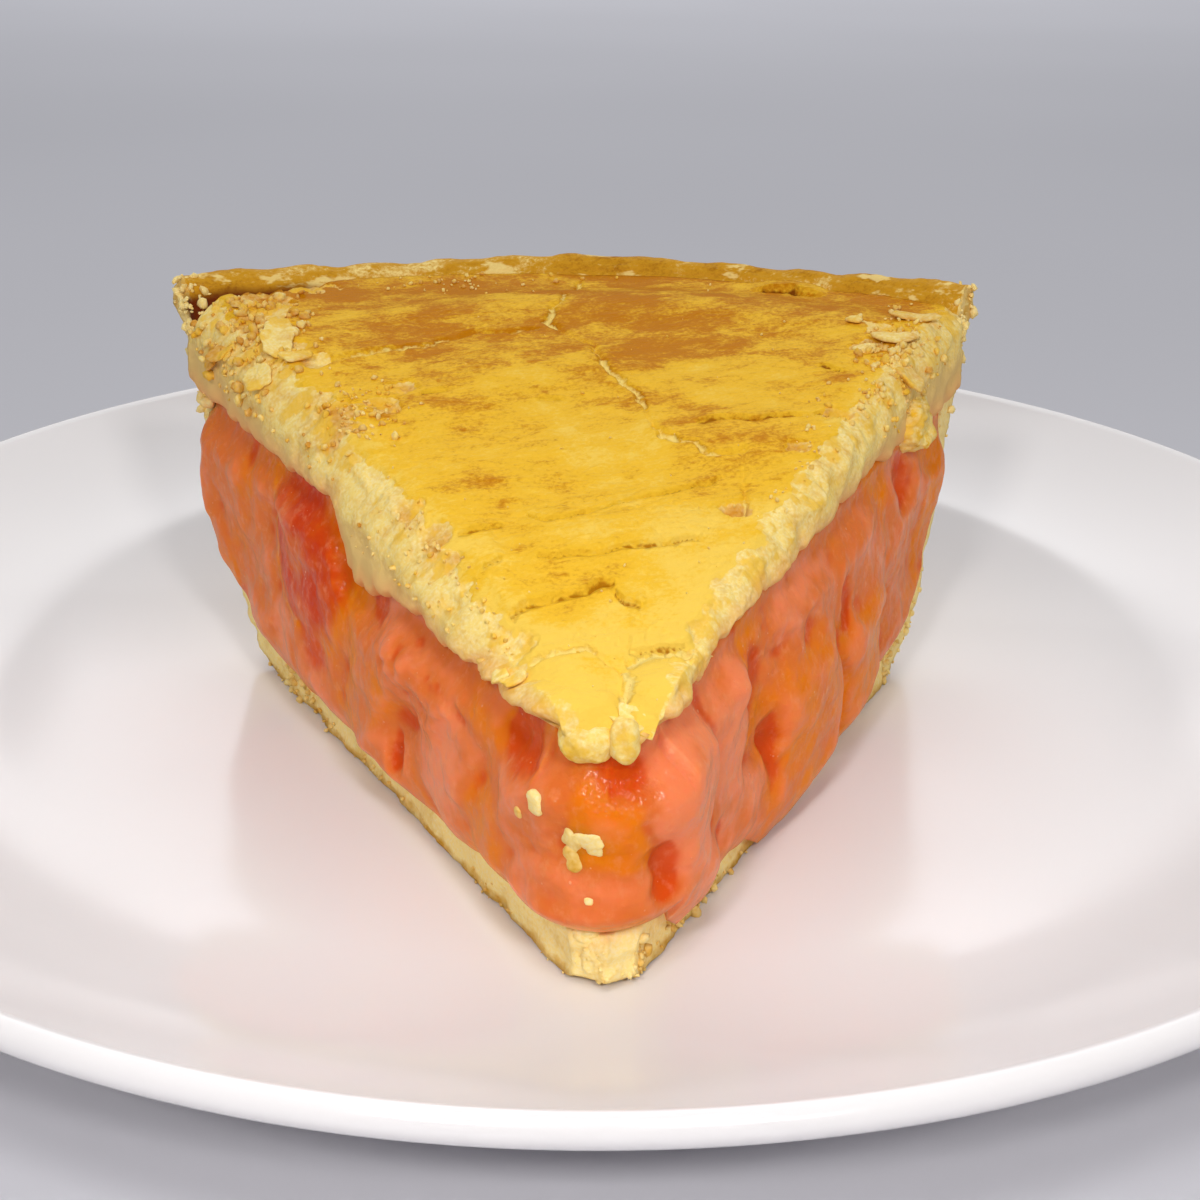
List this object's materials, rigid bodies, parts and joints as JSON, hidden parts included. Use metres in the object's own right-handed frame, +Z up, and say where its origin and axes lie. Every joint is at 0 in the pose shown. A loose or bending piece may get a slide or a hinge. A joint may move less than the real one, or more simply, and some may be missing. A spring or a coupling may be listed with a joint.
{
  "type": "pear pie slice on a plate",
  "caption": "A thick slice of double-crust pear pie with a crimped rim, cracked golden lid and glossy pink pear filling, standing on a plain round white plate",
  "frame": {"origin": "centre of the plate's underside, on the surface it stands on", "axes": "+Z up; the slice's point faces -Y and its crimped rim faces +Y"},
  "size_m": [0.25, 0.25, 0.064],
  "materials": {
    "plate_glaze": "smooth white glaze",
    "bottom_pastry": "dry baked pastry, golden brown outside and pale cream where it is cut",
    "pear_filling": "wet, slightly clear cooked pear in thickened juice, salmon pink to amber",
    "top_pastry": "flaky baked pastry, golden yellow with amber patches and fine cracks"
  },
  "bodies": {
    "root": {"plate": "plate_glaze", "bottom_crust": "bottom_pastry", "filling": "pear_filling", "top_crust": "top_pastry"}
  },
  "joints": []
}
